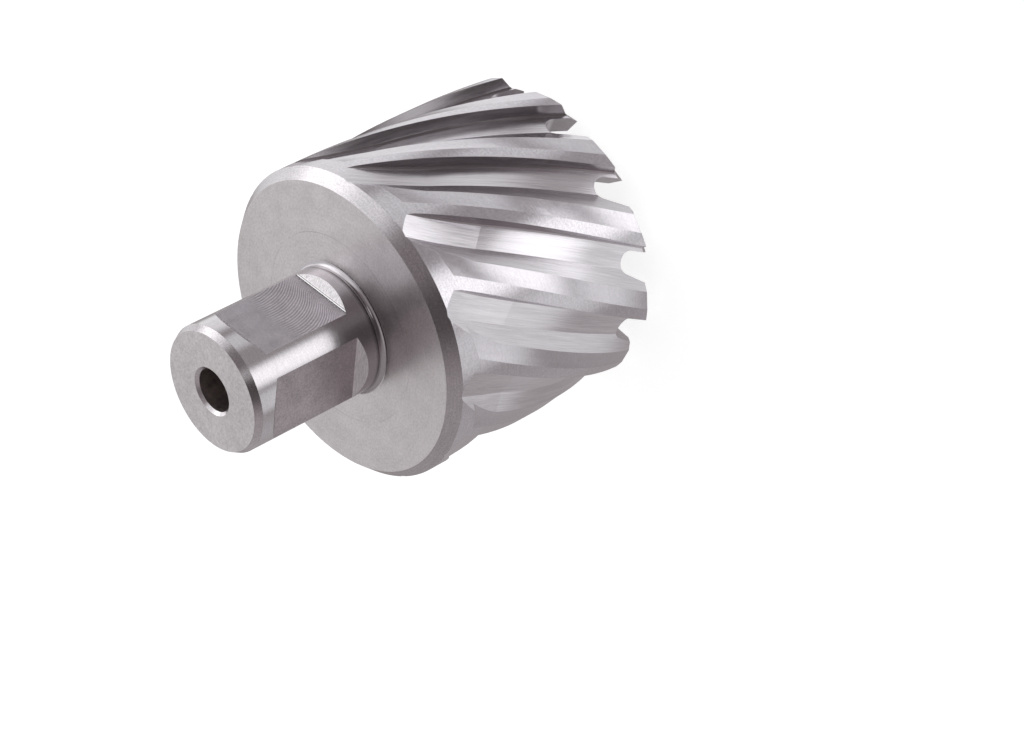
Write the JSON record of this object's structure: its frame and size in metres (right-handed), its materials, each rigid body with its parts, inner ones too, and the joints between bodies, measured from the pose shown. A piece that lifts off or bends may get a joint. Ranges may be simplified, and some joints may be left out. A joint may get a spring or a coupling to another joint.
{
  "type": "annular cutter",
  "caption": "Hollow cylindrical metal cutter with helical flutes, a toothed open end, and a stepped-down round shank with two drive flats and a through bore.",
  "frame": {"origin": "on the cutter's axis, in the plane of the tooth tips, at the centre of the open end", "axes": "+Z along the cutter's axis from the teeth to the shank end; +X is the outward normal of one drive flat and -Y that of the other"},
  "size_m": [0.047, 0.047, 0.0632],
  "materials": {
    "ground_steel": "ground and polished bare high-speed steel"
  },
  "bodies": {
    "root": {"annular_cutter": "ground_steel"}
  },
  "joints": []
}
